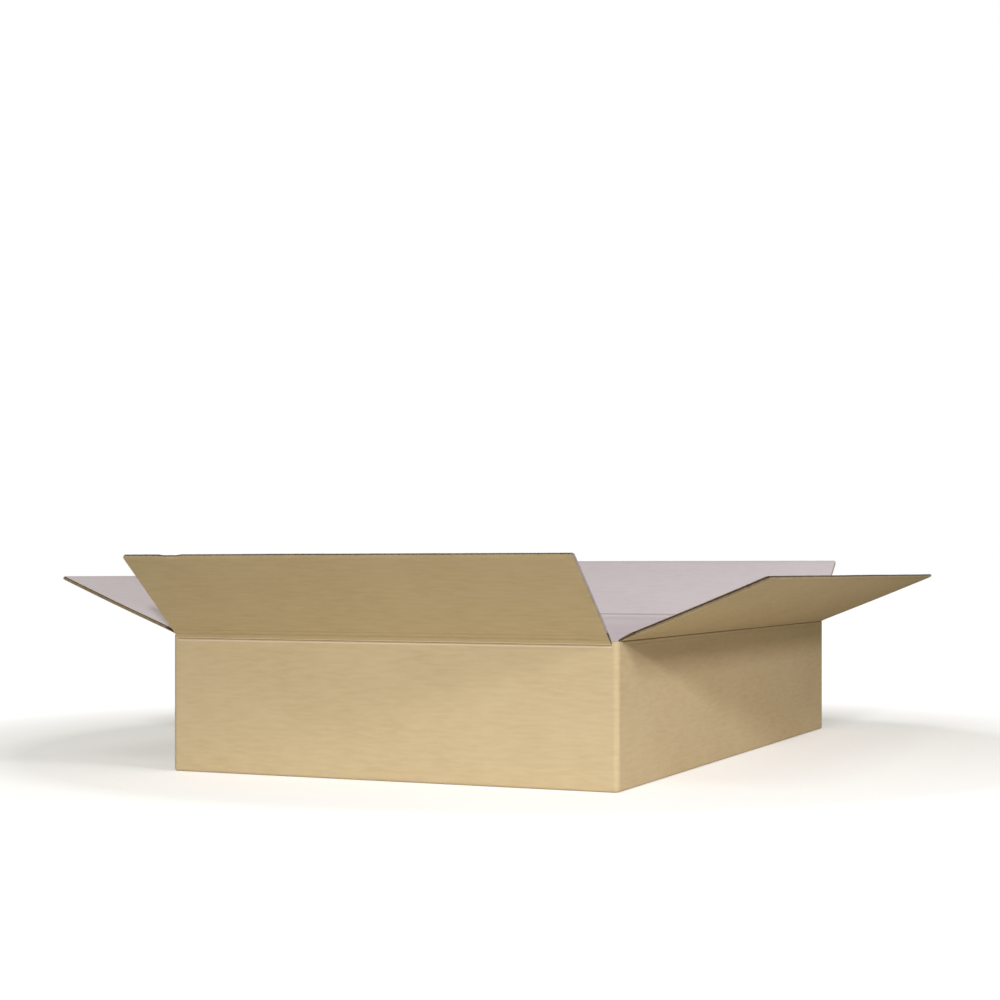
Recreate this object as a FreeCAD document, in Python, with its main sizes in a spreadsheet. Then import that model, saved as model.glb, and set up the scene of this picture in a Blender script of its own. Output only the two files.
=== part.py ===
import FreeCAD, Part
import Sketcher
import math
import os
import re

# An open slotted shipping carton of single-wall corrugated board, standing on its closed bottom.
# Origin: centre of the underside. +Z is up, X runs along the short walls, Y along the long walls.
# The front is at -Y. All lengths are millimetres and all angles are degrees.

# Driving sizes: alias, value, meaning
SIZES = [
    ("carton_width", 520.0, "outside, along the short front and back walls"),
    ("carton_depth", 830.0, "outside, along the long left and right walls"),
    ("carton_height", 150.0, "from the underside to the scores of the long walls"),
    ("board", 4.0, "thickness of the board over its liners"),
    ("liner", 0.45, "thickness of each flat facing sheet"),
    ("medium", 0.45, "thickness of the wavy sheet between the liners, at its crests"),
    ("medium_foot", 0.2, "half the width of a crest of the wavy sheet where it is glued on"),
    ("flute_pitch", 7.8, "from one crest of the wavy sheet to the next"),
    ("flute_reach", 12.0, "how far the open flutes run in from a flap's free edge"),
    ("edge_margin", 4.5, "solid board between a flap's side edge and its first open flute"),
    ("edge_hollow", 2.2, "how far the cut flute runs in along an edge parallel to the flutes"),
    ("upright_fold", 5.5, "outer radius of the upright folds"),
    ("upright_crease", 1.5, "inner radius of the upright folds"),
    ("bottom_fold", 3.0, "outer radius of the folds under the walls"),
    ("shoulder", 1.5, "radius where the crushed score meets the inner face"),
    ("score_gap", 0.15, "from a flap's turning line to the board on each side of it"),
    ("bead_rise", 0.3, "height of the pressed bead beside a score"),
    ("bead_foot", 2.6, "width of a bead at the face of the board"),
    ("bead_crest", 1.0, "width of a bead at its crest"),
    ("bead_place", 1.75, "from the turning line to the middle of a bead"),
    ("slot_setback", 7.0, "from a wall's outer face to the side edge of the flap beside it"),
    ("slot_depth", 0.5, "how far the slots are cut below the scores of the long walls"),
    ("flap_clearance", 0.3, "between the closed end flaps and the side flaps on them"),
    ("end_flap_length", 138.0, "front and back top flaps, from score to free edge"),
    ("side_flap_length", 165.0, "left and right top flaps, from score to free edge"),
    ("seam_gap", 1.0, "between the two outer bottom flaps along the middle"),
    ("lap_width", 35.0, "width of the glued lap inside the back left corner"),
    ("lap_slope", 8.0, "how much shorter each end of the lap gets towards its free edge"),
    ("lap_clearance", 1.5, "from the ends of the lap to the bottom and to the closed flaps"),
    ("lap_step", 1.0, "from the left wall's outer face to the cut end of the back wall"),
    ("lap_notch", 0.4, "open line between the lap's fold and the back wall"),
    ("lap_fold", 3.0, "outer radius of the fold that leads into the lap"),
    ("front_tilt", 50.0, "front flap, outwards from upright"),
    ("right_tilt", 67.8, "right flap, outwards from upright"),
    ("back_tilt", 51.4, "back flap, outwards from upright"),
    ("left_tilt", 68.3, "left flap, outwards from upright"),
    ("nick_start", 44.0, "from the front flap's left edge to the worn place in its free edge"),
    ("nick_width", 27.0, "length of the worn place"),
    ("nick_depth", 1.4, "depth of the worn place"),
    ("overcut", 1.0, "how far a cut passes beyond the board that it removes"),
]

# Heights and lengths that follow from the driving sizes
END_SCORE = "(carton_height - board - flap_clearance)"
SLOT_FLOOR = "(carton_height - slot_depth)"
END_FLAP_WIDTH = "(carton_width - 2 * slot_setback)"
SIDE_FLAP_WIDTH = "(carton_depth - 2 * slot_setback)"
BOTTOM_FLAP = "((carton_width - seam_gap) / 2)"
FLUTE_HEIGHT = "(board - 2 * liner)"

doc = FreeCAD.newDocument("Carton")
sheet = doc.addObject("Spreadsheet::Sheet", "Sizes")
for row, (alias, value, meaning) in enumerate(SIZES, start=1):
    sheet.set(f"A{row}", meaning)
    sheet.set(f"B{row}", str(value))
    sheet.setAlias(f"B{row}", alias)
doc.recompute()

ALIASES = {alias for alias, value, meaning in SIZES}


def from_sheet(formula):
    """The formula with each size's name pointing at its cell."""
    def cell(match):
        word = match.group()
        return f"Sizes.{word}" if word in ALIASES else word
    return re.sub(r"[a-z_]+", cell, formula)


def bind(thing, place, formula):
    thing.setExpression(place, from_sheet(formula))


def origin_plane(body, role):
    return next(item for item in body.Origin.OriginFeatures if item.Role == role)


def new_sketch(body, name, role, lift=None):
    """A sketch on one of the body's own planes, lifted along the plane's normal if asked."""
    sketch = body.newObject("Sketcher::SketchObject", name)
    sketch.AttachmentSupport = [(origin_plane(body, role), "")]
    sketch.MapMode = "FlatFace"
    if lift:
        bind(sketch, "AttachmentOffset.Base.z", lift)
    return sketch


def pin(sketch, line, direction, axis, formula):
    """Hold a line's first point at a distance from the sketch's origin."""
    if formula == "0":
        sketch.addConstraint(Sketcher.Constraint("PointOnObject", line, 1, axis))
        return
    index = sketch.addConstraint(Sketcher.Constraint(direction, -1, 1, line, 1, 1.0))
    bind(sketch, f"Constraints[{index}]", formula)


def add_outline(sketch, corners):
    """A closed outline of straight lines through corners given as pairs of formulas."""
    first = sketch.GeometryCount
    count = len(corners)
    rough = []
    for index in range(count):
        turn = 2 * math.pi * index / count
        rough.append(FreeCAD.Vector(10 * math.cos(turn), 10 * math.sin(turn), 0))
    for index in range(count):
        sketch.addGeometry(Part.LineSegment(rough[index], rough[(index + 1) % count]), False)
    for index in range(count):
        following = first + (index + 1) % count
        sketch.addConstraint(Sketcher.Constraint("Coincident", first + index, 2, following, 1))
    for index, (across, along) in enumerate(corners):
        pin(sketch, first + index, "DistanceX", -2, across)
        pin(sketch, first + index, "DistanceY", -1, along)


def rectangle(low_x, low_y, high_x, high_y):
    return [(low_x, low_y), (high_x, low_y), (high_x, high_y), (low_x, high_y)]


def mirrored(corners):
    """The same outline on the other side of the sketch's vertical axis."""
    return [(f"-({across})", along) for across, along in reversed(corners)]


def pad(body, name, sketch, length, midplane=False):
    feature = body.newObject("PartDesign::Pad", name)
    feature.Profile = sketch
    feature.Midplane = midplane
    bind(feature, "Length", length)
    body.Tip = feature
    doc.recompute()
    return feature


def pocket(body, name, sketch, length=None, midplane=False, upwards=False):
    """Cut to a length, or all the way through if none is given."""
    before = body.Shape.Volume
    feature = body.newObject("PartDesign::Pocket", name)
    feature.Profile = sketch
    feature.Midplane = midplane
    feature.Reversed = upwards
    if length:
        bind(feature, "Length", length)
    else:
        feature.Type = "ThroughAll"
    body.Tip = feature
    doc.recompute()
    if not body.Shape.Volume < before:
        raise RuntimeError(f"{name} cuts nothing")
    return feature


def fillet(body, name, radius, wanted):
    """Round the edges of the body that the given test picks."""
    base = body.Tip
    names = [f"Edge{i}" for i, edge in enumerate(base.Shape.Edges, start=1) if wanted(edge)]
    if not names:
        raise RuntimeError(f"{name} finds no edge")
    feature = body.newObject("PartDesign::Fillet", name)
    feature.Base = (base, names)
    bind(feature, "Radius", radius)
    body.Tip = feature
    doc.recompute()
    return feature


def near(a, b):
    return abs(a - b) < 1e-4


def runs_along(edge, axis):
    """Whether the edge is straight and parallel to one of the axes."""
    span = edge.BoundBox
    lengths = {"x": span.XLength, "y": span.YLength, "z": span.ZLength}
    return near(lengths.pop(axis), edge.Length) and max(lengths.values()) < 1e-4


width = sheet.carton_width
depth = sheet.carton_depth
board = sheet.board


# The four walls: one strip of board, lapped and glued at the back left corner
carton = doc.addObject("PartDesign::Body", "carton_body")
carton.Label = "carton_body"
half_width = "carton_width / 2"
half_depth = "carton_depth / 2"
cut_end = "-carton_width / 2 + lap_step"
cut_end_hollow = "-carton_width / 2 + lap_step + edge_hollow"
fold_end = "-carton_width / 2 + board - liner"
lap_face = "carton_depth / 2 - board"
wall_outline = [
    (f"-{half_width}", f"-{half_depth}"),
    (half_width, f"-{half_depth}"),
    (half_width, half_depth),
    (cut_end, half_depth),
    (cut_end, f"{half_depth} - liner"),
    (cut_end_hollow, f"{half_depth} - liner"),
    (cut_end_hollow, f"{lap_face} + liner"),
    (cut_end, f"{lap_face} + liner"),
    (cut_end, lap_face),
    (fold_end, lap_face),
    (fold_end, f"{lap_face} - lap_notch"),
    (f"-{half_width}", f"{lap_face} - lap_notch"),
]
walls_sketch = new_sketch(carton, "walls_sketch", "XY_Plane")
add_outline(walls_sketch, wall_outline)
inner_width = "carton_width / 2 - board"
inner_depth = "carton_depth / 2 - board"
room = rectangle(f"-({inner_width})", f"-({inner_depth})", inner_width, inner_depth)
add_outline(walls_sketch, room)
pad(carton, "walls", walls_sketch, "carton_height")

outer_folds = [
    (-width / 2, -depth / 2),
    (width / 2, -depth / 2),
    (width / 2, depth / 2),
]
lap_fold = [(-width / 2, depth / 2 - board - sheet.lap_notch)]


def upright_at(edge, places):
    spot = edge.CenterOfMass
    return runs_along(edge, "z") and any(near(spot.x, x) and near(spot.y, y) for x, y in places)


def at_inner_crease(edge):
    spot = edge.CenterOfMass
    at_corner = near(abs(spot.x), width / 2 - board) and near(abs(spot.y), depth / 2 - board)
    return runs_along(edge, "z") and at_corner


def at_outer_bottom(edge):
    spot = edge.CenterOfMass
    long_side = runs_along(edge, "y") and near(abs(spot.x), width / 2) and edge.Length > depth / 2
    short_side = runs_along(edge, "x") and near(abs(spot.y), depth / 2) and edge.Length > width / 2
    return near(spot.z, 0) and (long_side or short_side)


fillet(carton, "upright_folds", "upright_fold", lambda edge: upright_at(edge, outer_folds))
fillet(carton, "lap_fold_round", "lap_fold", lambda edge: upright_at(edge, lap_fold))
fillet(carton, "upright_creases", "upright_crease", at_inner_crease)
fillet(carton, "bottom_folds", "bottom_fold", at_outer_bottom)

# The closed bottom: outer flaps from the long walls, glued under inner flaps from the short walls
outer_bottom = new_sketch(carton, "outer_bottom_sketch", "XY_Plane")
flap_end = "carton_depth / 2 - slot_setback"
outer_flap = rectangle("seam_gap / 2", f"-({flap_end})", "carton_width / 2 - bottom_fold", flap_end)
add_outline(outer_bottom, outer_flap)
add_outline(outer_bottom, mirrored(outer_flap))
pad(carton, "outer_bottom_flaps", outer_bottom, "board")

inner_bottom = new_sketch(carton, "inner_bottom_sketch", "XY_Plane", "board")
flap_side = "carton_width / 2 - slot_setback"
inner_tip = f"carton_depth / 2 - {BOTTOM_FLAP}"
inner_root = "carton_depth / 2 - board / 2"
add_outline(inner_bottom, rectangle(f"-({flap_side})", inner_tip, flap_side, inner_root))
add_outline(
    inner_bottom,
    rectangle(f"-({flap_side})", f"-({inner_root})", flap_side, f"-({inner_tip})"),
)
pad(carton, "inner_bottom_flaps", inner_bottom, "board")

# The glued lap, with its ends cut back towards its free edge
lap_sketch = new_sketch(carton, "lap_sketch", "XZ_Plane", "-(carton_depth / 2 - board)")
lap_root = "-(carton_width / 2 - board / 2)"
lap_edge = "-(carton_width / 2 - board - lap_width)"
lap_low = "2 * board + lap_clearance"
lap_high = f"{END_SCORE} - board - score_gap - lap_clearance"
lap_outline = [
    (lap_root, lap_low),
    (lap_edge, f"{lap_low} + lap_slope"),
    (lap_edge, f"{lap_high} - lap_slope"),
    (lap_root, lap_high),
]
add_outline(lap_sketch, lap_outline)
pad(carton, "glued_lap", lap_sketch, "board")


def score_cut(face, height):
    """The board removed above a slope that falls inwards from a turning line on a wall's face."""
    return [
        (f"{face} + overcut", f"{height} - score_gap + overcut"),
        (f"{face} + overcut", "carton_height + 2 * overcut"),
        (f"{face} - board - overcut", "carton_height + 2 * overcut"),
        (f"{face} - board - overcut", f"{height} - score_gap - board - overcut"),
    ]


def bead_outline(face, height):
    """A bead on a wall's outer face, its foot sunk a little into the board."""
    return [
        (f"{face} - overcut", f"{height} - bead_place - bead_foot / 2"),
        (face, f"{height} - bead_place - bead_foot / 2"),
        (f"{face} + bead_rise", f"{height} - bead_place - bead_crest / 2"),
        (f"{face} + bead_rise", f"{height} - bead_place + bead_crest / 2"),
        (face, f"{height} - bead_place + bead_foot / 2"),
        (f"{face} - overcut", f"{height} - bead_place + bead_foot / 2 - overcut"),
    ]


# The crushed scores along the tops of the walls: the long walls first, then the short ones
SCORES = [
    ("side", "XZ_Plane", half_width, "carton_height", SIDE_FLAP_WIDTH),
    ("end", "YZ_Plane", half_depth, END_SCORE, END_FLAP_WIDTH),
]
for name, plane, face, height, length in SCORES:
    cut_sketch = new_sketch(carton, f"{name}_score_sketch", plane)
    add_outline(cut_sketch, score_cut(face, height))
    add_outline(cut_sketch, mirrored(score_cut(face, height)))
    pocket(carton, f"{name}_scores", cut_sketch, length, midplane=True)

side_shoulder_height = sheet.carton_height - sheet.score_gap - board
end_shoulder_height = side_shoulder_height - board - sheet.flap_clearance


def at_wall_shoulder(edge):
    spot = edge.CenterOfMass
    on_side = runs_along(edge, "y") and near(abs(spot.x), width / 2 - board)
    on_end = runs_along(edge, "x") and near(abs(spot.y), depth / 2 - board)
    side = on_side and near(spot.z, side_shoulder_height)
    return side or (on_end and near(spot.z, end_shoulder_height))


fillet(carton, "score_shoulders", "shoulder", at_wall_shoulder)

for name, plane, face, height, length in SCORES:
    bead_sketch = new_sketch(carton, f"{name}_bead_sketch", plane)
    add_outline(bead_sketch, bead_outline(face, height))
    add_outline(bead_sketch, mirrored(bead_outline(face, height)))
    pad(carton, f"{name}_beads", bead_sketch, length, midplane=True)

# The slots that part the top flaps, one at each corner
slot_sketch = new_sketch(carton, "slot_sketch", "XY_Plane", SLOT_FLOOR)
slot_low_x = "carton_width / 2 - slot_setback"
slot_high_x = "carton_width / 2 + overcut"
slot_low_y = "carton_depth / 2 - slot_setback"
slot_high_y = "carton_depth / 2 + overcut"
back_slot = rectangle(slot_low_x, slot_low_y, slot_high_x, slot_high_y)
front_slot = rectangle(slot_low_x, f"-({slot_high_y})", slot_high_x, f"-({slot_low_y})")
for corner in (back_slot, front_slot):
    add_outline(slot_sketch, corner)
    add_outline(slot_sketch, mirrored(corner))
pocket(carton, "slots", slot_sketch, upwards=True)


def make_flap(name, flap_width, length, heading, hinge, tilt):
    """A top flap that stands on its turning line, then is turned to its wall and tilted."""
    flap = doc.addObject("PartDesign::Body", name)
    flap.Label = name
    profile = new_sketch(flap, f"{name}_profile", "YZ_Plane")
    add_outline(profile, [
        ("0", "score_gap"),
        ("board", "score_gap + board"),
        ("board", length),
        ("0", length),
        ("0", "bead_place + bead_foot / 2"),
        ("-bead_rise", "bead_place + bead_crest / 2"),
        ("-bead_rise", "bead_place - bead_crest / 2"),
        ("0", "bead_place - bead_foot / 2"),
    ])
    pad(flap, f"{name}_board", profile, flap_width, midplane=True)

    def at_flap_shoulder(edge):
        spot = edge.CenterOfMass
        at_base = near(spot.y, board) and near(spot.z, sheet.score_gap + board)
        return runs_along(edge, "x") and at_base

    fillet(flap, f"{name}_shoulder", "shoulder", at_flap_shoulder)

    # The side edges, cut along a flute that lies open between the liners
    hollow = new_sketch(flap, f"{name}_hollow_sketch", "XY_Plane", length)
    hollow_outline = rectangle(
        f"{flap_width} / 2 - edge_hollow",
        "liner",
        f"{flap_width} / 2 + overcut",
        "board - liner",
    )
    add_outline(hollow, hollow_outline)
    add_outline(hollow, mirrored(hollow_outline))
    pocket(flap, f"{name}_hollows", hollow)

    # The free edge, cut across the flutes: one flute of each row, repeated along the edge
    count = f"floor(({flap_width} - 2 * edge_margin - flute_pitch / 2) / flute_pitch)"
    start = f"-({count} * flute_pitch + flute_pitch / 2) / 2"
    flute = new_sketch(flap, f"{name}_flute_sketch", "XY_Plane", length)
    add_outline(flute, [
        (f"{start} + medium_foot", "liner"),
        (f"{start} + flute_pitch - medium_foot", "liner"),
        (f"{start} + flute_pitch / 2", f"liner + {FLUTE_HEIGHT} - medium"),
    ])
    add_outline(flute, [
        (f"{start} + flute_pitch / 2 + medium_foot", "board - liner"),
        (f"{start} + flute_pitch", "liner + medium"),
        (f"{start} + 3 * flute_pitch / 2 - medium_foot", "board - liner"),
    ])
    first = pocket(flap, f"{name}_first_flutes", flute, "flute_reach")
    row = flap.newObject("PartDesign::LinearPattern", f"{name}_flutes")
    row.Originals = [first]
    row.Direction = (flute, ["H_Axis"])
    bind(row, "Occurrences", count)
    bind(row, "Length", f"({count} - 1) * flute_pitch")
    flap.Tip = row
    doc.recompute()

    x, y, z = hinge
    turn = f"rotation(vector(0; 0; 1); {heading}) * rotation(vector(1; 0; 0); {tilt})"
    bind(flap, "Placement", f"placement(vector({x}; {y}; {z}); {turn})")
    doc.recompute()
    return flap


# The top flaps: name, width, length, heading of the outer face, turning line, tilt
FLAPS = [
    ("front_flap", END_FLAP_WIDTH, "end_flap_length", 0,
     ("0", f"-{half_depth}", END_SCORE), "front_tilt"),
    ("right_flap", SIDE_FLAP_WIDTH, "side_flap_length", 90,
     (half_width, "0", "carton_height"), "right_tilt"),
    ("back_flap", END_FLAP_WIDTH, "end_flap_length", 180,
     ("0", half_depth, END_SCORE), "back_tilt"),
    ("left_flap", SIDE_FLAP_WIDTH, "side_flap_length", 270,
     (f"-{half_width}", "0", "carton_height"), "left_tilt"),
]
parts = [carton]
for name, flap_width, length, heading, hinge, tilt in FLAPS:
    parts.append(make_flap(name, flap_width, length, heading, hinge, tilt))

# The worn place in the front flap's free edge
front_flap = parts[1]
nick_sketch = new_sketch(front_flap, "nick_sketch", "XZ_Plane")
nick_left = f"-{END_FLAP_WIDTH} / 2 + nick_start"
add_outline(nick_sketch, [
    (nick_left, "end_flap_length"),
    (f"{nick_left} + nick_width / 3", "end_flap_length - nick_depth"),
    (f"{nick_left} + nick_width * 2 / 3", "end_flap_length - nick_depth"),
    (f"{nick_left} + nick_width", "end_flap_length"),
    (f"{nick_left} + nick_width", "end_flap_length + overcut"),
    (nick_left, "end_flap_length + overcut"),
])
pocket(front_flap, "nick", nick_sketch, "4 * board", midplane=True)

doc.recompute()
for item in doc.Objects:
    if {"Invalid", "Error"} & set(item.State):
        raise RuntimeError(f"{item.Label} failed: {item.State}")
os.makedirs("parts", exist_ok=True)
for part in parts:
    shape = part.Shape
    if shape.isNull() or not shape.isValid() or len(shape.Solids) != 1:
        raise RuntimeError(f"{part.Label} is not one valid solid")
    shape.exportStep(f"parts/{part.Label}.step")
    print(part.Label, round(shape.Volume / 1000, 1), "cm3", len(shape.Faces), "faces", shape.BoundBox)
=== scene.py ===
import math

import bpy
from mathutils import Matrix, Vector, noise


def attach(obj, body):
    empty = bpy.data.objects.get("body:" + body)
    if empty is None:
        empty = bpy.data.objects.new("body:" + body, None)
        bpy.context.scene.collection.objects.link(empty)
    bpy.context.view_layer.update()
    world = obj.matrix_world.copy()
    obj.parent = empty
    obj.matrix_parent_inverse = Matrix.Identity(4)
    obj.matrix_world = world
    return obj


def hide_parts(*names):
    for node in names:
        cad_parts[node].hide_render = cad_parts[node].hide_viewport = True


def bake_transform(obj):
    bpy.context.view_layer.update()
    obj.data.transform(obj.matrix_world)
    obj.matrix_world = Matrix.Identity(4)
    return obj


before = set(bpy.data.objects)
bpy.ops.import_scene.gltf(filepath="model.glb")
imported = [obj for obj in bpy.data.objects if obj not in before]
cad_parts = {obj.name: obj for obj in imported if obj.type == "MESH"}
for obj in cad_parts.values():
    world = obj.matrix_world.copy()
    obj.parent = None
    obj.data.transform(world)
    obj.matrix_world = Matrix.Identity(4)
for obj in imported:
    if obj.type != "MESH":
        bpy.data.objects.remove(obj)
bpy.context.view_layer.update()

# sizes of the board and the carton, in metres
board = {
    "thick": 0.004,
    "liner": 0.00045,
    "medium": 0.0003,
    "pitch": 0.0078,       # one flute
    "sideMargin": 0.0022,  # the last flute ends this far from a cut side
    "pinch": 0.0010,       # the knife presses each liner in by this much at a free edge
}
carton = {
    "width": 0.520,
    "depth": 0.830,
    "endScore": 0.1457,
    "sideScore": 0.150,
    "slotFloor": 0.1495,
    "foldRadius": 0.0055,
    "lapFold": 0.003,
    "bottomFold": 0.003,
    "wallBand": 0.008,     # the crushed score runs this far into a wall
    "flapBand": 0.016,     # and this far into a flap
    "endHalf": 0.253,
    "sideHalf": 0.408,
    "lapEnd": 0.221,
    "lapLine": 0.411,
    "cutEnd": 0.259,
}
# the last two numbers of each flap lighten its score bead (rubbed wear and painted highlight) and paint shade
# in its crease valley
flaps = {
    "front": {"node": "front_flap", "turn": 0, "half": 0.253, "length": 0.138, "tilt": 50.0,
              "hinge": (0, -0.415, 0.1457), "bow": -0.0006,
              "seed": 3.1, "margin": 0.0014, "wearAndHighlight": 0.9, "valleyShade": 0.35},
    "right": {"node": "right_flap", "turn": 90, "half": 0.408, "length": 0.165, "tilt": 67.8,
              "hinge": (0.26, 0, 0.150), "bow": 0.0008,
              "seed": 7.4, "margin": 0.0022, "wearAndHighlight": 0.2, "valleyShade": 0.8},
    "back": {"node": "back_flap", "turn": 180, "half": 0.253, "length": 0.138, "tilt": 51.4,
              "hinge": (0, 0.415, 0.1457), "bow": -0.0006,
              "seed": 11.9, "margin": 0.0014, "wearAndHighlight": 0.6, "valleyShade": 0.5},
    "left": {"node": "left_flap", "turn": 270, "half": 0.408, "length": 0.165, "tilt": 68.3,
              "hinge": (-0.26, 0, 0.150), "bow": 0.0012,
              "seed": 17.2, "margin": 0.0009, "wearAndHighlight": 0.2, "valleyShade": 0.8},
}


def linear(red, green, blue):
    def one(value):
        value /= 255
        return value / 12.92 if value <= 0.04045 else ((value + 0.055) / 1.055) ** 2.4
    return (one(red), one(green), one(blue), 1)


# paper tones in sRGB; the darkest tone is painted shade for creases, grooves and the upper inner walls; worn
# lightens rubbed crests, and on the score beads also paints a highlight
paper = {
    "outside": {"base": (209, 187, 147), "dark": (198, 175, 134), "light": (215, 195, 156),
        "worn": (229, 210, 180), "pressed": (160, 137, 96), "rough": 0.78, "ribs": 0.04, "fibre": 0.12},
    # the flaps' outside is the same kraft, painted darker and more saturated as shade on their down-facing
    # faces
    "shadedFlapKraft": {"base": (202, 179, 135), "dark": (189, 166, 122), "light": (208, 187, 144),
        "worn": (229, 210, 180), "pressed": (152, 130, 88), "rough": 0.78, "ribs": 0.04, "fibre": 0.12},
    "inside": {"base": (226, 216, 220), "dark": (218, 207, 211), "light": (232, 223, 228),
        "worn": (234, 227, 231), "pressed": (150, 136, 134), "rough": 0.85, "ribs": 0.06, "fibre": 0.12},
    # the darkest paper: painted shade in the gap where the flattened flutes sit behind the liners
    "crushed": {"base": (96, 78, 54), "dark": (74, 60, 42), "light": (128, 106, 76),
        "worn": (128, 106, 76), "pressed": (74, 60, 42), "rough": 0.9, "ribs": 0.0, "fibre": 0.3},
    "cut": {"base": (154, 135, 108), "dark": (116, 99, 76), "light": (180, 161, 131),
        "worn": (192, 174, 146), "pressed": (116, 99, 76), "rough": 0.9, "ribs": 0.0, "fibre": 0.3},
}


def addNode(tree, kind, place, **values):
    node = tree.nodes.new(kind)
    node.location = place
    for key, value in values.items():
        setattr(node, key, value)
    return node


def newGroup(name, inputs, outputs):
    tree = bpy.data.node_groups.new(name, "ShaderNodeTree")
    for label, kind in inputs:
        tree.interface.new_socket(name=label, in_out="INPUT", socket_type=kind)
    for label, kind in outputs:
        tree.interface.new_socket(name=label, in_out="OUTPUT", socket_type=kind)
    return tree, addNode(tree, "NodeGroupInput", (-1200, 0)), addNode(tree, "NodeGroupOutput", (900, 0))


# paper fibres: long streaks along the sheet, cloudy tone and short dark specks, all from flat sheet coordinates
def paperGrain():
    tree, start, end = newGroup("paperGrain", [("Sheet", "NodeSocketVector")],
                                [("Streaks", "NodeSocketFloat"), ("Cloud", "NodeSocketFloat"),
                                 ("Specks", "NodeSocketFloat"), ("Height", "NodeSocketFloat")])
    link = tree.links.new
    def layer(scale, size, detail, y):
        spread = addNode(tree, "ShaderNodeMapping", (-950, y))
        spread.inputs["Scale"].default_value = scale
        link(start.outputs["Sheet"], spread.inputs["Vector"])
        cloud = addNode(tree, "ShaderNodeTexNoise", (-700, y))
        cloud.inputs["Scale"].default_value = size
        cloud.inputs["Detail"].default_value = detail
        cloud.inputs["Roughness"].default_value = 0.6
        link(spread.outputs["Vector"], cloud.inputs["Vector"])
        return cloud.outputs["Fac"]
    streaks = layer((38, 230, 38), 1.0, 3.0, 400)
    cloud = layer((9, 12, 9), 1.0, 3.0, 100)
    specks = layer((420, 1500, 420), 1.0, 2.0, -200)
    fine = layer((260, 1300, 260), 1.0, 3.0, -500)
    pick = addNode(tree, "ShaderNodeMapRange", (-400, -200))
    pick.inputs["From Min"].default_value = 0.64
    pick.inputs["From Max"].default_value = 0.76
    link(specks, pick.inputs["Value"])
    tall = addNode(tree, "ShaderNodeMath", (-400, -500), operation="MULTIPLY_ADD")
    tall.inputs[1].default_value = 0.6
    link(fine, tall.inputs[0])
    link(streaks, tall.inputs[2])
    link(streaks, end.inputs["Streaks"])
    link(cloud, end.inputs["Cloud"])
    link(pick.outputs["Result"], end.inputs["Specks"])
    link(tall.outputs[0], end.inputs["Height"])
    return tree


# the liner sinks a little between the flute crests under it
def washboard():
    tree, start, end = newGroup("washboard", [("Sheet", "NodeSocketVector")], [("Height", "NodeSocketFloat")])
    link = tree.links.new
    split = addNode(tree, "ShaderNodeSeparateXYZ", (-900, 0))
    link(start.outputs["Sheet"], split.inputs[0])
    turn = addNode(tree, "ShaderNodeMath", (-650, 0), operation="MULTIPLY")
    turn.inputs[1].default_value = 2 * math.pi / board["pitch"]
    link(split.outputs["X"], turn.inputs[0])
    wave = addNode(tree, "ShaderNodeMath", (-400, 0), operation="COSINE")
    link(turn.outputs[0], wave.inputs[0])
    link(wave.outputs[0], end.inputs["Height"])
    return tree


grainGroup = paperGrain()
washGroup = washboard()


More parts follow.
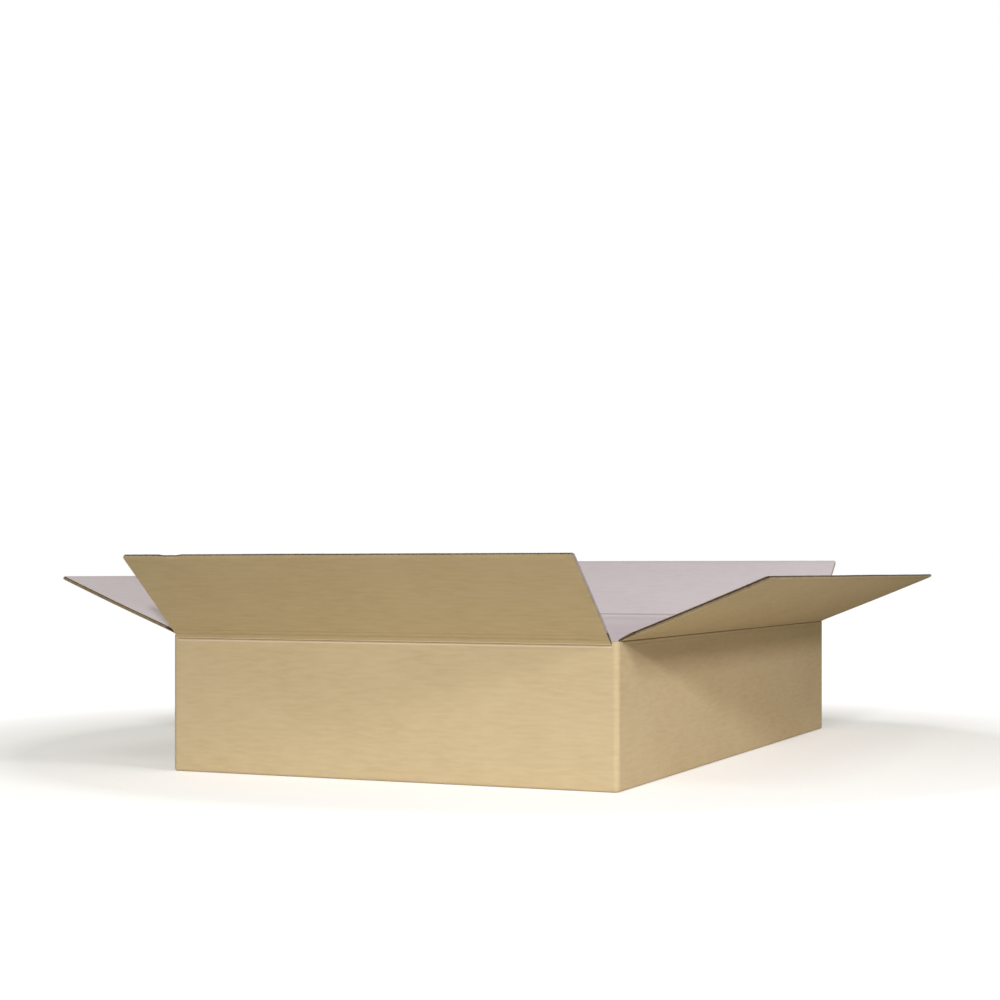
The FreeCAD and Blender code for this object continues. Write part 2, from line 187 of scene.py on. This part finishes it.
def paperMaterial(name, tone):
    material = bpy.data.materials.new(name)
    material.use_nodes = True
    tree = material.node_tree
    link = tree.links.new
    shader = tree.nodes["Principled BSDF"]
    shader.inputs["Roughness"].default_value = tone["rough"]
    shader.inputs["Specular IOR Level"].default_value = 0.25
    sheet = addNode(tree, "ShaderNodeUVMap", (-1400, 0), uv_map="sheet")
    grain = addNode(tree, "ShaderNodeGroup", (-1150, 100), node_tree=grainGroup)
    link(sheet.outputs[0], grain.inputs["Sheet"])
    def mix(first, second, factor, place):
        node = addNode(tree, "ShaderNodeMix", place, data_type="RGBA")
        for socket, value in ((node.inputs[6], first), (node.inputs[7], second), (node.inputs[0], factor)):
            if isinstance(value, (tuple, float)):
                socket.default_value = value
            else:
                link(value, socket)
        return node.outputs[2]
    def stretch(value, low, high, place, top=1.0):
        node = addNode(tree, "ShaderNodeMapRange", place)
        node.inputs["From Min"].default_value = low
        node.inputs["From Max"].default_value = high
        node.inputs["To Max"].default_value = top
        link(value, node.inputs["Value"])
        return node.outputs["Result"]
    streak = stretch(grain.outputs["Streaks"], 0.22, 0.62, (-900, 300))
    cloud = stretch(grain.outputs["Cloud"], 0.35, 0.65, (-900, 100), 0.4)
    colour = mix(linear(*tone["dark"]), linear(*tone["base"]), streak, (-650, 300))
    colour = mix(colour, linear(*tone["light"]), cloud, (-450, 200))
    specks = stretch(grain.outputs["Specks"], 0.0, 1.0, (-900, -100), 0.35)
    colour = mix(colour, linear(*tone["dark"]), specks, (-250, 150))
    # worn lightens rubbed edges, and on the score beads paints a highlight
    worn = addNode(tree, "ShaderNodeAttribute", (-900, -300), attribute_name="worn")
    colour = mix(colour, linear(*tone["worn"]), worn.outputs["Fac"], (-50, 100))
    # painted shade: darkens creases, grooves and the upper inner walls
    pressed = addNode(tree, "ShaderNodeAttribute", (-900, -480), attribute_name="pressed")
    colour = mix(colour, linear(*tone["pressed"]), pressed.outputs["Fac"], (150, 100))
    link(colour, shader.inputs["Base Color"])
    bump = addNode(tree, "ShaderNodeBump", (-50, -200))
    bump.inputs["Strength"].default_value = tone["fibre"]
    bump.inputs["Distance"].default_value = 0.0002
    link(grain.outputs["Height"], bump.inputs["Height"])
    if tone["ribs"]:
        ribs = addNode(tree, "ShaderNodeGroup", (-650, -400), node_tree=washGroup)
        link(sheet.outputs[0], ribs.inputs["Sheet"])
        wave = addNode(tree, "ShaderNodeBump", (-300, -400))
        wave.inputs["Strength"].default_value = tone["ribs"]
        wave.inputs["Distance"].default_value = 0.0003
        link(ribs.outputs["Height"], wave.inputs["Height"])
        link(wave.outputs["Normal"], bump.inputs["Normal"])
    link(bump.outputs["Normal"], shader.inputs["Normal"])
    return material


outside = paperMaterial("kraftOutside", paper["outside"])
# the flaps carry the kraft with painted shade
shadedFlapKraft = paperMaterial("kraftFlapShaded", paper["shadedFlapKraft"])
inside = paperMaterial("paleInside", paper["inside"])
cutEdge = paperMaterial("cutEdge", paper["cut"])
crushed = paperMaterial("crushedEnd", paper["crushed"])
print("materials ready")


def clearChoice():
    if bpy.context.object and bpy.context.object.mode != "OBJECT":
        bpy.ops.object.mode_set(mode="OBJECT")
    bpy.ops.object.select_all(action="DESELECT")


def pick(piece):
    clearChoice()
    piece.select_set(True)
    bpy.context.view_layer.objects.active = piece


def applyModifier(piece, kind, **values):
    pick(piece)
    modifier = piece.modifiers.new(kind.lower(), kind)
    for key, value in values.items():
        setattr(modifier, key, value)
    bpy.ops.object.modifier_apply(modifier=modifier.name)


# a flat grid from corner (x0, y0) to (x1, y1) at height z
def addSheet(name, x0, x1, y0, y1, z, across, along):
    clearChoice()
    bpy.ops.mesh.primitive_grid_add(x_subdivisions=across, y_subdivisions=along, size=1,
                                    location=((x0 + x1) / 2, (y0 + y1) / 2, z))
    piece = bpy.context.object
    piece.name = name
    piece.scale = (x1 - x0, y1 - y0, 1)
    bpy.ops.object.transform_apply(location=True, rotation=True, scale=True)
    return piece


# picks corners, edges or faces by a test and leaves the piece in edit mode
def choose(piece, kind, test):
    bpy.ops.object.mode_set(mode="EDIT")
    bpy.ops.mesh.select_mode(type=kind)
    bpy.ops.mesh.select_all(action="DESELECT")
    bpy.ops.object.mode_set(mode="OBJECT")
    mesh = piece.data
    if kind == "VERT":
        for vertex in mesh.vertices:
            vertex.select = test(vertex.co)
    elif kind == "EDGE":
        for edge in mesh.edges:
            edge.select = all(test(mesh.vertices[i].co) for i in edge.vertices)
    else:
        for face in mesh.polygons:
            face.select = test(face)
    bpy.ops.object.mode_set(mode="EDIT")


# deletes every corner but the wanted ones
def keepOnly(piece, wanted):
    choose(piece, "VERT", lambda spot: not wanted(spot))
    bpy.ops.mesh.delete(type="VERT")


# one more row of corners across the sheet
def sliceAcross(piece, y):
    bpy.ops.object.mode_set(mode="EDIT")
    bpy.ops.mesh.select_all(action="SELECT")
    bpy.ops.mesh.bisect(plane_co=(0, y, 0), plane_no=(0, 1, 0))
    bpy.ops.object.mode_set(mode="OBJECT")


def joinPieces(name, parts):
    clearChoice()
    for part in parts:
        part.select_set(True)
    bpy.context.view_layer.objects.active = parts[0]
    bpy.ops.object.join()
    piece = bpy.context.object
    piece.name = name
    return piece


# flat sheet coordinates, wear (with a painted highlight on the score beads) and painted shade are worked out
# from each corner's place
def writeSheet(piece, place, wearAndHighlight=None, press=None):
    mesh = piece.data
    while mesh.uv_layers:
        mesh.uv_layers.remove(mesh.uv_layers[0])
    layer = mesh.uv_layers.new(name="sheet")
    for face in mesh.polygons:
        for corner in face.loop_indices:
            layer.data[corner].uv = place(mesh.vertices[mesh.loops[corner].vertex_index].co, face)
    for label, amount in (("worn", wearAndHighlight), ("pressed", press)):
        values = mesh.attributes.new(label, "FLOAT", "POINT").data
        for vertex in mesh.vertices:
            values[vertex.index].value = amount(vertex.co) if amount else 0.0


def finish(piece, body, angle=35):
    pick(piece)
    bpy.ops.object.shade_smooth_by_angle(angle=math.radians(angle))
    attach(piece, body)


# how a knife leaves the free edges
knife = {
    "reach": 0.005,     # the board is pressed over this length
    "corner": 0.0022,   # cut off the outer corners
    "fray": 0.00018,
    "worn": 0.0012,
}
fluteBack = 0.0003      # the fluted sheet ends this far behind the liners


# x runs along the fold, y from the fold to the free edge; the outer face lies at z = 0, the inner at -thick
def corrugatedBoard(name, half, start, length, seed, margin, outer, nick=None):
    thick, liner = board["thick"], board["liner"]
    columns = int(half * 2 / 0.004)
    sheets = []
    for label, z, material in (("Outer", -liner / 2, outer), ("Inner", -thick + liner / 2, inside)):
        sheet = addSheet(name + label, -half, half, start, length, z, columns, 12)
        for back in (knife["reach"], knife["reach"] / 2):
            sliceAcross(sheet, length - back)
        choose(sheet, "VERT", lambda spot: abs(spot.x) > half - 1e-5 and spot.y > length - 1e-5)
        bpy.ops.mesh.bevel(offset=knife["corner"], segments=3, affect="VERTICES")
        bpy.ops.object.mode_set(mode="OBJECT")
        applyModifier(sheet, "SOLIDIFY", thickness=liner, offset=0)
        sheet.data.materials.append(material)
        sheet.data.materials.append(cutEdge)
        for face in sheet.data.polygons:
            face.material_index = 0 if abs(face.normal.z) > 0.5 else 1
        sheets.append(sheet)
    reach = half - margin
    count = round(2 * reach / board["pitch"])
    pitch = 2 * reach / count
    swing = (thick - 2 * liner - board["medium"]) / 2
    flute = addSheet(name + "Medium", -reach, -reach + pitch, start, length - fluteBack, -thick / 2, 12, 5)
    for back in (knife["reach"], knife["reach"] / 2):
        sliceAcross(flute, length - back)
    for vertex in flute.data.vertices:
        turn = (vertex.co.x + reach) / pitch * 2 * math.pi
        vertex.co.z += swing * math.cos(turn) * (1 - 0.12 * math.cos(2 * turn))
    applyModifier(flute, "ARRAY", count=count, use_relative_offset=True, relative_offset_displace=(1, 0, 0),
                  use_merge_vertices=True, merge_threshold=0.00001)
    applyModifier(flute, "SOLIDIFY", thickness=board["medium"], offset=0)
    flute.data.materials.append(cutEdge)
    piece = joinPieces(name, [sheets[0], sheets[1], flute])
    for vertex in piece.data.vertices:  # knife edges are pinched and never quite clean
        spot = vertex.co.copy()
        press = max(0.0, 1 - (length - spot.y) / knife["reach"]) ** 2
        vertex.co.z += press * 2 * board["pinch"] * (-thick / 2 - spot.z) / thick
        if spot.y > length - 0.0006:
            vertex.co.y += knife["fray"] * noise.noise(Vector((spot.x * 180, spot.z * 900, seed)))
            if nick and nick["from"] < spot.x < nick["to"]:
                inward = min(spot.x - nick["from"], nick["to"] - spot.x)
                depth = min(1, 6 * inward / (nick["to"] - nick["from"]))
                vertex.co.y -= nick["deep"] * depth
    return piece


# board never lies quite flat
def bowed(piece, half, start, length, bow, seed):
    for vertex in piece.data.vertices:
        x, y = vertex.co.x / half, max(0.0, (vertex.co.y - start) / (length - start))
        vertex.co.z += bow * math.sin(math.pi * y * 0.9) * (1 - 0.4 * x * x)
        vertex.co.z += 0.0002 * y * noise.noise(Vector((vertex.co.x * 9, vertex.co.y * 9, seed)))


def flapFrame(flap):
    tilt = math.radians(flap["tilt"])
    lean = Matrix(((1, 0, 0, 0), (0, -math.sin(tilt), -math.cos(tilt), 0),
                   (0, math.cos(tilt), -math.sin(tilt), 0), (0, 0, 0, 1)))
    return Matrix.Translation(flap["hinge"]) @ Matrix.Rotation(math.radians(flap["turn"]), 4, "Z") @ lean


nick = {"from": -0.209, "to": -0.182, "deep": 0.0014}
for name, flap in flaps.items():
    start = carton["flapBand"]
    piece = corrugatedBoard(name + "Flap", flap["half"], start, flap["length"], flap["seed"], flap["margin"],
                            shadedFlapKraft, nick if name == "front" else None)
    bowed(piece, flap["half"], start, flap["length"], flap["bow"], flap["seed"])
    shift = flap["seed"]
    length = flap["length"]
    writeSheet(piece, lambda spot, face: (spot.x + shift, spot.y + shift),
               lambda spot: 0.6 * max(0.0, 1 - (length - spot.y) / knife["worn"]) if spot.z > -0.001 else 0.0)
    piece.data.transform(flapFrame(flap))
    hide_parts(flap["node"])
    finish(piece, name)
print("flaps ready")


# a crushed score: places run up from the fold and into the board
score = {
    "bead": ((0.0034, 0), (0.0028, -0.0001), (0.0022, -0.0003), (0.00175, -0.00038), (0.0013, -0.0003),
             (0.0008, -0.00004)),
    "ripple": ((0.0066, 0), (0.0058, -0.0001), (0.0052, -0.00016), (0.0046, -0.0001)),
    "wheels": (0.0082, 0.0148),   # faint lines pressed by the creasing wheels
    "wheelHalf": 0.0008,
    "wheelDeep": 0.0002,
    "flapCrush": ((0.0146, 0.004), (0.0138, 0.0035), (0.0130, 0.0039), (0.0095, 0.0036), (0.006, 0.0032),
                  (0.002, 0.0028)),
    "wallCrush": ((0.0012, 0.0029), (0.0028, 0.0035), (0.0042, 0.0039)),
    "outerMiddle": 0.0004,
    "innerMiddle": 0.0027,
    "setBack": 0.0012,            # the flattened flutes end behind the liners
    "blendReach": 0.0055,
}


# both outlines of a score, in (outward, up) from the hinge line
def scoreOutline(tilt):
    lean = math.radians(tilt)
    along = Vector((math.sin(lean), math.cos(lean)))
    out = Vector((math.cos(lean), -math.sin(lean)))
    thick, low, high = board["thick"], carton["wallBand"], carton["flapBand"]
    def onWall(down, deep):
        return Vector((-deep, -down))
    def onFlap(up, deep):
        return along * up - out * deep
    middle = (Vector((-1, 0)) - out).normalized()
    wheel, deep = score["wheelHalf"], score["wheelDeep"]
    outer = [onWall(low, 0)] + [onWall(*p) for p in score["ripple"] + score["bead"]]
    outer += [middle * score["outerMiddle"]] + [onFlap(*p) for p in reversed(score["bead"])]
    for line in score["wheels"]:
        outer += [onFlap(line - wheel, 0), onFlap(line, deep), onFlap(line + wheel, 0)]
    outer += [onFlap(high, 0)]
    inner = [onFlap(high, thick)] + [onFlap(*p) for p in score["flapCrush"]] + [middle * score["innerMiddle"]]
    inner += [onWall(*p) for p in score["wallCrush"]] + [onWall(low, thick)]
    return outer, inner


# the same line, moved into the board
def sunkLine(points, depth):
    moved = []
    for i, point in enumerate(points):
        step = (points[min(len(points) - 1, i + 1)] - points[max(0, i - 1)]).normalized()
        moved.append(point + Vector((-step.y, step.x)) * depth)
    return moved


# an edge along the fold is extruded point by point round the outline, then the ends are filled
def sweepEdge(name, half, outline):
    clearChoice()
    bpy.ops.mesh.primitive_plane_add(size=1, location=(0, 0, 0))
    piece = bpy.context.object
    piece.name = name
    piece.scale = (2 * half, 0.001, 1)
    bpy.ops.object.transform_apply(location=False, rotation=False, scale=True)
    keepOnly(piece, lambda spot: spot.y < 0)
    bpy.ops.mesh.select_all(action="SELECT")
    first = outline[0]
    bpy.ops.transform.translate(value=(0, -first[0] + 0.0005, first[1]))
    here = first
    for point in list(outline[1:]) + [first]:
        step = (0, here[0] - point[0], point[1] - here[1])
        bpy.ops.mesh.extrude_edges_move(TRANSFORM_OT_translate={"value": step})
        here = point
    bpy.ops.mesh.select_all(action="SELECT")
    bpy.ops.mesh.remove_doubles(threshold=0.000005)
    bpy.ops.mesh.select_all(action="DESELECT")
    bpy.ops.mesh.select_non_manifold()
    bpy.ops.mesh.edge_face_add()
    bpy.ops.mesh.select_all(action="SELECT")
    bpy.ops.mesh.normals_make_consistent(inside=False)
    bpy.ops.object.mode_set(mode="OBJECT")
    return piece


def isNear(spot, outline):
    return any(abs(-spot.y - p[0]) < 1e-5 and abs(spot.z - p[1]) < 1e-5 for p in outline)


# two pressed liners and the flattened flutes between them, set back a little from the slot
def scoreBand(name, flap):
    outer, inner = scoreOutline(flap["tilt"])
    liner, half = board["liner"], flap["half"]
    sunkOuter, sunkInner = sunkLine(outer, liner), sunkLine(inner, liner)
    parts = []
    for label, face, back in (("Outer", outer, sunkOuter), ("Inner", inner, sunkInner),
                              ("Core", sunkOuter, list(reversed(sunkInner)))):
        reach = half - (score["setBack"] if label == "Core" else 0.00005)
        part = sweepEdge(name + "Score" + label, reach, list(face) + list(reversed(back)))
        for material in (outside, shadedFlapKraft, inside, cutEdge, crushed):
            part.data.materials.append(material)
        for polygon in part.data.polygons:
            seen = all(isNear(part.data.vertices[i].co, face) for i in polygon.vertices)
            # the flattened flutes get painted shade as their colour
            if label == "Core":
                polygon.material_index = 4
            elif not seen or abs(polygon.normal.x) > 0.9:
                polygon.material_index = 3
            elif label == "Inner":
                polygon.material_index = 2
            else:
                polygon.material_index = 1 if polygon.center.z > 0 else 0
        parts.append(part)
    piece = joinPieces(name + "Score", parts)
    tilt = math.radians(flap["tilt"])
    shift = flap["seed"]
    along = Vector((math.sin(tilt), math.cos(tilt)))
    # the score bead's crest is lightened: rubbed wear and a painted highlight
    def wearAndHighlight(spot):
        return flap["wearAndHighlight"] if isNear(spot, outer) and 0.001 < math.hypot(spot.y, spot.z) < 0.0025 else 0.0
    # painted shade: the crease valley, the wheel lines, the wall side and the crushed zone inside are darkened
    def press(spot):
        up = -spot.y * along.x + spot.z * along.y
        if isNear(spot, outer):
            line = min(abs(up - wheel) for wheel in score["wheels"]) < 0.0002
            return flap["valleyShade"] if math.hypot(spot.y, spot.z) < 0.0009 else 0.45 if line else 0.0
        if spot.z < 0.0002:
            return 0.3
        return 0.5 if 0.0128 < up < 0.0142 else 0.25 if up < 0.008 else 0.0
    writeSheet(piece, lambda spot, face: (spot.x + shift, shift + (spot.z + max(0.0, -spot.y)) * 0.8),
               wearAndHighlight, press)
    turned = Matrix.Rotation(math.radians(flap["turn"]), 4, "Z")
    piece.data.transform(Matrix.Translation(flap["hinge"]) @ turned)
    pick(piece)
    bpy.ops.object.shade_smooth_by_angle(angle=math.radians(50))
    lift = Vector((0, -math.sin(tilt), math.cos(tilt) + 1)).normalized()
    lift = turned.to_3x3() @ lift * score["blendReach"]
    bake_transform(piece)


for name, flap in flaps.items():
    scoreBand(name, flap)
print("scores ready")


# one strip of board: lap, left, front, right and back wall, walked along its outer face
def wallPath():
    halfX, halfY, fold = carton["width"] / 2, carton["depth"] / 2, carton["foldRadius"]
    endX, endY, lap = carton["endHalf"], carton["sideHalf"], carton["lapFold"]
    path = [(-carton["lapEnd"], carton["lapLine"]), (-halfX + lap, carton["lapLine"])]
    def arc(centre, radius, fromDeg, toDeg, steps):
        for i in range(1, steps + 1):
            a = math.radians(fromDeg + (toDeg - fromDeg) * i / steps)
            path.append((centre[0] + radius * math.cos(a), centre[1] + radius * math.sin(a)))
    arc((-halfX + lap, carton["lapLine"] - lap), lap, 90, 180, 5)
    path += [(-halfX, endY - 0.02), (-halfX, -endY + 0.02), (-halfX, -endY), (-halfX, -halfY + fold)]
    arc((-halfX + fold, -halfY + fold), fold, 180, 270, 8)
    path += [(-endX, -halfY), (-endX + 0.02, -halfY), (endX - 0.02, -halfY), (endX, -halfY)]
    path += [(halfX - fold, -halfY)]
    arc((halfX - fold, -halfY + fold), fold, -90, 0, 8)
    path += [(halfX, -endY), (halfX, -endY + 0.02), (halfX, endY - 0.02), (halfX, endY)]
    path += [(halfX, halfY - fold)]
    arc((halfX - fold, halfY - fold), fold, 0, 90, 8)
    path += [(endX, halfY), (endX - 0.02, halfY), (-endX + 0.02, halfY), (-endX, halfY)]
    path += [(-carton["cutEnd"], halfY)]
    clean = [path[0]]
    for point in path[1:]:
        if (Vector(point) - Vector(clean[-1])).length > 1e-5:
            clean.append(point)
    return clean


# where a corner lies on the unfolded strip
def perimeterPlace(spot, face):
    halfX, halfY = carton["width"] / 2, carton["depth"] / 2
    x, y = spot.x, spot.y
    centre = face.center
    sides = {"front": abs(centre.y + halfY), "back": abs(halfY - centre.y),
             "right": abs(halfX - centre.x), "left": abs(centre.x + halfX)}
    side = min(sides, key=sides.get)
    along = {"front": x + halfX, "right": 2 * halfX + y + halfY, "back": 2 * halfX + 2 * halfY + halfX - x,
             "left": 4 * halfX + 2 * halfY + halfY - y}[side]
    return (along, spot.z)


def wallStrip():
    path = wallPath()
    clearChoice()
    bpy.ops.mesh.primitive_plane_add(size=0.001, location=(path[0][0], path[0][1], 0))
    piece = bpy.context.object
    piece.name = "wallStrip"
    bpy.ops.object.transform_apply(location=True, rotation=False, scale=False)
    keepOnly(piece, lambda spot: spot.x < path[0][0] and spot.y < path[0][1])
    bpy.ops.mesh.select_all(action="SELECT")
    bpy.ops.transform.translate(value=(0.0005, 0.0005, 0))
    bpy.ops.mesh.select_all(action="SELECT")
    here = 0
    reach = carton["wallBand"]
    levels = [0.02, 0.05, 0.09, carton["endScore"] - reach - 0.003, carton["endScore"] - reach,
              carton["sideScore"] - reach, carton["slotFloor"]]
    for level in levels:
        bpy.ops.mesh.extrude_vertices_move(TRANSFORM_OT_translate={"value": (0, 0, level - here)})
        here = level
    bpy.ops.mesh.select_all(action="SELECT")
    bpy.ops.mesh.select_mode(type="EDGE")
    spot = path[0]
    for point in path[1:]:
        step = (point[0] - spot[0], point[1] - spot[1], 0)
        bpy.ops.mesh.extrude_edges_move(TRANSFORM_OT_translate={"value": step})
        spot = point
    bpy.ops.mesh.select_all(action="SELECT")
    bpy.ops.mesh.normals_make_consistent(inside=False)
    bpy.ops.object.mode_set(mode="OBJECT")
    halfX, halfY = carton["width"] / 2, carton["depth"] / 2
    mesh = piece.data
    def aboveScore(face):
        centre = face.center
        high = centre.z > carton["endScore"] - reach + 1e-5
        higher = centre.z > carton["sideScore"] - reach + 1e-5
        onEnd = abs(abs(centre.y) - halfY) < 1e-4 and abs(centre.x) < carton["endHalf"]
        onSide = abs(abs(centre.x) - halfX) < 1e-4 and abs(centre.y) < carton["sideHalf"]
        onLap = (abs(centre.y - carton["lapLine"]) < 1e-4
                 and -carton["endHalf"] - 0.004 < centre.x < -carton["lapEnd"])
        return (onEnd and high) or (onSide and higher) or (onLap and high)
    choose(piece, "FACE", aboveScore)
    bpy.ops.mesh.delete(type="FACE")
    bpy.ops.object.mode_set(mode="OBJECT")
    test = min(mesh.polygons, key=lambda f: (f.center - Vector((0, -halfY, 0.07))).length)
    if test.normal.y > 0:
        bpy.ops.object.mode_set(mode="EDIT")
        bpy.ops.mesh.select_all(action="SELECT")
        bpy.ops.mesh.flip_normals()
        bpy.ops.object.mode_set(mode="OBJECT")
    applyModifier(piece, "SOLIDIFY", thickness=board["thick"], offset=-1, use_even_offset=True)
    mesh = piece.data
    fold = carton["foldRadius"]
    def outerFoot(spot):  # the bottom fold is rounded
        onFace = abs(abs(spot.x) - halfX) < 1e-4 or abs(abs(spot.y) - halfY) < 1e-4
        if abs(spot.x) > halfX - fold - 1e-4 and abs(spot.y) > halfY - fold - 1e-4:
            corner = Vector((math.copysign(halfX - fold, spot.x), math.copysign(halfY - fold, spot.y)))
            onFace = abs((Vector((spot.x, spot.y)) - corner).length - fold) < 1e-4
        return onFace and abs(spot.z) < 1e-5
    choose(piece, "EDGE", outerFoot)
    bpy.ops.mesh.bevel(offset=carton["bottomFold"], segments=4, affect="EDGES")
    bpy.ops.object.mode_set(mode="OBJECT")
    for material in (outside, inside, cutEdge):
        mesh.materials.append(material)
    for face in mesh.polygons:
        centre, normal = face.center, face.normal
        if normal.z > 0.7:
            face.material_index = 2
        elif abs(centre.x) > halfX - 0.0030 or abs(centre.y) > halfY - 0.0030 or centre.z < 0.0025:
            face.material_index = 0
        elif abs(centre.x) > halfX - 0.0038 and abs(centre.y) > halfY - 0.0038:
            face.material_index = 0
        else:
            face.material_index = 1
    def innerWallShade(spot):  # painted shade: the inner walls are darkened above 80 mm
        isIn = abs(spot.x) < halfX - 0.0035 and abs(spot.y) < halfY - 0.0035
        return 0.3 if isIn and spot.z > 0.08 else 0.0
    writeSheet(piece, perimeterPlace, None, innerWallShade)
    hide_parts("carton_body")
    finish(piece, "carton", 40)


wallStrip()

# bottom flaps: the end pair lies inside on the side pair
bottom = {
    "bottomEndFront": {"turn": 0, "half": 0.253, "length": 0.2552, "hinge": (0, -0.4107, 0.004)},
    "bottomEndBack": {"turn": 180, "half": 0.253, "length": 0.2512, "hinge": (0, 0.4067, 0.004)},
    "bottomSideRight": {"turn": 90, "half": 0.408, "length": 0.2565, "hinge": (0.257, 0, 0)},
    "bottomSideLeft": {"turn": 270, "half": 0.408, "length": 0.2565, "hinge": (-0.257, 0, 0)},
}
layFlat = Matrix(((-1, 0, 0, 0), (0, 1, 0, 0), (0, 0, -1, 0), (0, 0, 0, 1)))
for label, leaf in bottom.items():
    seed = 21.3 + leaf["turn"] / 10
    piece = corrugatedBoard(label, leaf["half"], 0.0, leaf["length"], seed, board["sideMargin"], outside)
    writeSheet(piece, lambda spot, face: (spot.x + seed, spot.y + seed))
    turned = Matrix.Rotation(math.radians(leaf["turn"]), 4, "Z")
    piece.data.transform(Matrix.Translation(leaf["hinge"]) @ turned @ layFlat)
    finish(piece, "carton")
print("carton ready")


studio = {
    "floorTone": (0.92, 0.92, 0.92, 1),   # a white sheet under the carton
    "roomTone": (0.16, 0.155, 0.15, 1),   # what the carton sees of the room beyond it
    "skyLevel": 0.25,
    "skyTone": (1.0, 0.93, 0.72, 1),
    "lamps": {
        "keyLamp": {"place": (1.25, -3.70, 1.37), "size": 0.25, "power": 75.0, "tone": (0.97, 1.0, 1.06)},
        "sideLamp": {"place": (2.2, -1.1, 1.33), "size": 0.3, "power": 20.2, "tone": (1.01, 1.0, 1.06)},
        "frontLamp": {"place": (0.4, -2.2, 3.0), "size": 1.2, "power": 11.0, "tone": (0.96, 1.0, 1.0)},
    },
    "aim": (0.1, 0, 0.08),
    "camera": {"place": (0.896044, -2.160662, 0.220184), "yaw": 23.628, "lens": 67.554, "shift": 0.07036},
}
clearChoice()
bpy.ops.mesh.primitive_plane_add(size=60, location=(0, 0, -0.0002))
floor = bpy.context.object
floor.name = "floor"
floorPaint = bpy.data.materials.new("floorPaint")
floorPaint.use_nodes = True
tree = floorPaint.node_tree
link = tree.links.new
shader = tree.nodes["Principled BSDF"]
shader.inputs["Roughness"].default_value = 1.0
shader.inputs["Specular IOR Level"].default_value = 0.0
spot = addNode(tree, "ShaderNodeTexCoord", (-900, -300))
far = addNode(tree, "ShaderNodeVectorMath", (-700, -300), operation="LENGTH")
link(spot.outputs["Object"], far.inputs[0])
sheetEnd = addNode(tree, "ShaderNodeMapRange", (-500, 100))
sheetEnd.inputs["From Min"].default_value = 0.68
sheetEnd.inputs["From Max"].default_value = 1.0
link(far.outputs["Value"], sheetEnd.inputs["Value"])
tone = addNode(tree, "ShaderNodeMix", (-300, 100), data_type="RGBA")
tone.inputs[6].default_value = studio["floorTone"]
tone.inputs[7].default_value = studio["roomTone"]
link(sheetEnd.outputs["Result"], tone.inputs[0])
link(tone.outputs[2], shader.inputs["Base Color"])
fade = addNode(tree, "ShaderNodeMapRange", (-500, -300))
fade.inputs["From Min"].default_value = 0.62
fade.inputs["From Max"].default_value = 0.98
fade.inputs["To Min"].default_value = 0.3
fade.inputs["To Max"].default_value = 1.0
link(far.outputs["Value"], fade.inputs["Value"])
ray = addNode(tree, "ShaderNodeLightPath", (-700, -600))
seen = addNode(tree, "ShaderNodeMath", (-300, -400), operation="MULTIPLY")
link(fade.outputs["Result"], seen.inputs[0])
link(ray.outputs["Is Camera Ray"], seen.inputs[1])
shader.inputs["Emission Color"].default_value = (1, 1, 1, 1)
link(seen.outputs[0], shader.inputs["Emission Strength"])
floor.data.materials.append(floorPaint)

world = bpy.data.worlds.new("studioAir")
bpy.context.scene.world = world
world.use_nodes = True
tree = world.node_tree
link = tree.links.new
tree.nodes.clear()
end = addNode(tree, "ShaderNodeOutputWorld", (600, 0))
soft = addNode(tree, "ShaderNodeBackground", (0, 100))
soft.inputs["Color"].default_value = studio["skyTone"]
soft.inputs["Strength"].default_value = studio["skyLevel"]
white = addNode(tree, "ShaderNodeBackground", (0, -100))
white.inputs["Color"].default_value = (1, 1, 1, 1)
white.inputs["Strength"].default_value = 1.0
ray = addNode(tree, "ShaderNodeLightPath", (-300, 200))
swap = addNode(tree, "ShaderNodeMixShader", (300, 0))
link(ray.outputs["Is Camera Ray"], swap.inputs[0])
link(soft.outputs[0], swap.inputs[1])
link(white.outputs[0], swap.inputs[2])
link(swap.outputs[0], end.inputs[0])


def softLamp(name, place, size, power, aim, tone):
    clearChoice()
    bpy.ops.object.light_add(type="AREA", location=place)
    lamp = bpy.context.object
    lamp.name = name
    lamp.data.energy = power
    lamp.data.size = size
    lamp.data.color = tone
    lamp.rotation_euler = (Vector(aim) - Vector(place)).to_track_quat("-Z", "Y").to_euler()


for name, lamp in studio["lamps"].items():
    softLamp(name, lamp["place"], lamp["size"], lamp["power"], studio["aim"], lamp["tone"])

clearChoice()
view = studio["camera"]
bpy.ops.object.camera_add(location=view["place"], rotation=(math.pi / 2, 0, math.radians(view["yaw"])))
camera = bpy.context.object
camera.name = "photoCamera"
camera.data.sensor_width = 36
camera.data.lens = view["lens"]
camera.data.shift_y = view["shift"]
bpy.context.scene.camera = camera
bpy.context.scene.view_settings.view_transform = "Standard"
print("studio ready")
